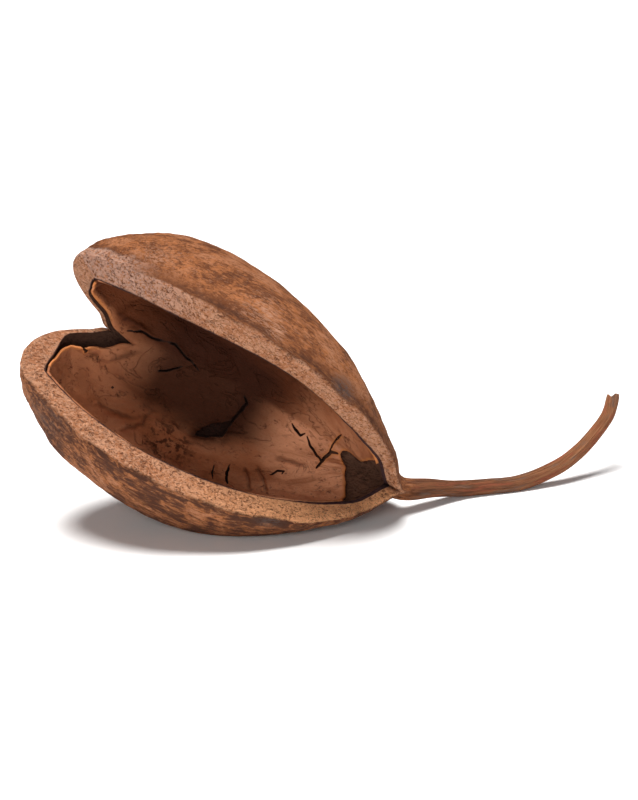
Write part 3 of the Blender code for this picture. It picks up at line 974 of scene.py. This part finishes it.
lift = edge_share * (SHEET_RISE + SHEET_BULGES * bulges + SHEET_WRINKLES * wrinkles)
lift += SHEET_CRUMPLES * crumples + frayed * (FRAYED_CRUMPLES * crumples + FRAYED_WRINKLES * wrinkles)
lift += BULGE_HEIGHT * bulge + FOLD_HEIGHT * fold * edge_share
lift += CRACK_CURL * fading(np.maximum(crack, 0), 0.0009)
curl_waves = grain(grown, (0.005, 0.005, 0.005), 3.3)
lift += back_edge * (valve < 0) * (BACK_CURL + BACK_CURL_WAVES * curl_waves)
lift = np.maximum(lift, -SHEET_SINK)
move_corners(lining.data, places + normals * lift[:, None])
for name, values in {"crack": crack, "fold": fold, "frayed": frayed, "shade_round_tears": shade_round_tears}.items():
    add_field(lining.data, name, values)

# The gaps are cut out, and their stepped edges are evened.
lining_mesh = bmesh.new()
lining_mesh.from_mesh(lining.data)
crack_layer = lining_mesh.verts.layers.float["crack"]
open_faces = []
for face in lining_mesh.faces:
    if sum(vert[crack_layer] for vert in face.verts) / len(face.verts) < CRACK_OPEN_BELOW:
        open_faces.append(face)
bmesh.ops.delete(lining_mesh, geom=open_faces, context="FACES")
for repeat in range(EDGE_SMOOTHINGS):
    smoothed = {}
    for vert in lining_mesh.verts:
        rim_edges = [edge for edge in vert.link_edges if edge.is_boundary]
        if len(rim_edges) == 2:
            ends = [edge.other_vert(vert).co for edge in rim_edges]
            smoothed[vert] = vert.co * 0.5 + (ends[0] + ends[1]) * 0.25
    for vert, place in smoothed.items():
        vert.co = place
edge_layer = lining_mesh.verts.layers.float.new("edge")
free = [vert.co.copy() for vert in lining_mesh.verts if vert.is_boundary]
edge_tree = KDTree(len(free))
for number, place in enumerate(free):
    edge_tree.insert(place, number)
edge_tree.balance()
for vert in lining_mesh.verts:
    vert[edge_layer] = edge_tree.find(vert.co)[2]
lining_mesh.to_mesh(lining.data)
lining_mesh.free()
thickness = lining.modifiers.new("thickness", "SOLIDIFY")
thickness.thickness = LINING_THICKNESS
thickness.offset = -1

LINING_PALE_LIT = (0.680, 0.310, 0.170, 1)
LINING_TAN = (0.450, 0.185, 0.092, 1)
LINING_RUST = (0.320, 0.112, 0.048, 1)
LINING_SHADE = (0.085, 0.021, 0.0065, 1)
LINING_SHADE_AND_FLECKS = (0.030, 0.0075, 0.0028, 1)
LINING_EDGE_HIGHLIGHT = (0.560, 0.200, 0.065, 1)
CRACK_SHADE = (0.020, 0.009, 0.006, 1)

# Papery tan to rust with dark flecks, with painted light by the stalk, painted shade deep in the hollow,
# round the holes and along folds, creases and cracks, and painted highlights on its warm, thin edges.
paper = Finish("pod_lining")
grown_at = paper.attribute("grown", "Vector")
along = paper.attribute("along")
angle = paper.attribute("round")
valve = paper.attribute("valve")
crack = paper.attribute("crack")
fold = paper.attribute("fold")
frayed = paper.attribute("frayed")
edge = paper.attribute("edge")
mottle = paper.noise(paper.stretched(grown_at, (0.6, 1, 1)), 70, 4, 0.6, 0.5)
stains = paper.noise(grown_at, 260, 5, 0.7, 0.3)
fine = paper.noise(paper.stretched(grown_at, (0.5, 1, 1)), 1300, 4, 0.65)
colour = paper.mix(paper.between(mottle, 0.36, 0.62), LINING_RUST, LINING_TAN)
# Painted light: the lower sheet is lightened towards the stalk end, where light falls into the hollow.
by_stalk = paper.between(along, 0.42, 0.20) * paper.between(valve, 0.5, -0.3)
colour = paper.mix(by_stalk * paper.between(mottle, 0.25, 0.55), colour, LINING_PALE_LIT)
colour = paper.mix(paper.between(along, 0.70, 0.90) * 0.6, colour, LINING_RUST)
colour = paper.mix(paper.between(stains, 0.55, 0.72) * 0.5, colour, LINING_RUST)
# Painted shade deep in the hollow: over the upper sheet, and on the back of the lower sheet between the
# stalk end and the notch.
middle = paper.between(along, 0.24, 0.40) * (1 - paper.between(along, 0.66, 0.84))
lower_painted_shade = paper.between(angle + (mottle - 0.5) * 0.8, 1.9, 2.7) * middle
upper_painted_shade = paper.between(valve, 0.0, 0.6) * paper.between(angle, 0.1, 0.9)
upper_painted_shade = upper_painted_shade * paper.between(along, 0.16, 0.34)
colour = paper.mix(upper_painted_shade * 0.92, colour, LINING_SHADE)
colour = paper.mix(lower_painted_shade * 0.96, colour, LINING_SHADE_AND_FLECKS)
# Painted shade round the torn hole and the risen tear.
colour = paper.mix(paper.attribute("shade_round_tears") * paper.between(stains, 0.30, 0.56) * 0.9, colour, LINING_SHADE_AND_FLECKS)
flecks = (1 - paper.between(stains, 0.34, 0.46)) * paper.between(fine, 0.42, 0.58)
colour = paper.mix(flecks * 0.7, colour, LINING_SHADE_AND_FLECKS)
# Painted shade in patches among the crumples of the frayed place, along the folds and along the creases.
colour = paper.mix(frayed * paper.between(stains, 0.52, 0.44) * 0.75, colour, LINING_SHADE_AND_FLECKS)
colour = paper.mix(fold * 0.55, colour, LINING_SHADE_AND_FLECKS)
ripples = paper.noise(paper.stretched(grown_at, (0.5, 1, 1)), 105, 3, 0.6, 0.7)
creases = paper.between((ripples - 0.5).or_more(0.5 - ripples), 0.016, 0.002)
creases = creases * paper.between(mottle, 0.46, 0.60)
colour = paper.mix(creases * 0.28, colour, LINING_SHADE_AND_FLECKS)
# Painted highlight along the thin free edges by the stalk end and at the tear.
at_tear = paper.between(along, 0.78, 0.88) * paper.between(angle, 2.5, 2.9)
at_end = paper.between(along, 0.20, 0.10).or_more(at_tear)
edge_highlight = (1 - paper.between(edge + (stains - 0.5) * 0.0020, 0.0002, 0.0014)) * at_end
colour = paper.mix(edge_highlight * 0.8, colour, LINING_EDGE_HIGHLIGHT)
# Painted shade along the edges of the cracks and the hole.
colour = paper.mix(paper.between(crack, 0.00022, 0.00002), colour, CRACK_SHADE)
paper.use("Base Color", colour)
paper.shader.inputs["Roughness"].default_value = 0.68
paper.shader.inputs["Specular IOR Level"].default_value = 0.08
paper.bump(fine * 0.4 + stains * 0.6 - creases * 0.5, 0.0008)
lining.data.materials.append(paper.material)
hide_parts("inner_lining")
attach(lining, "root")
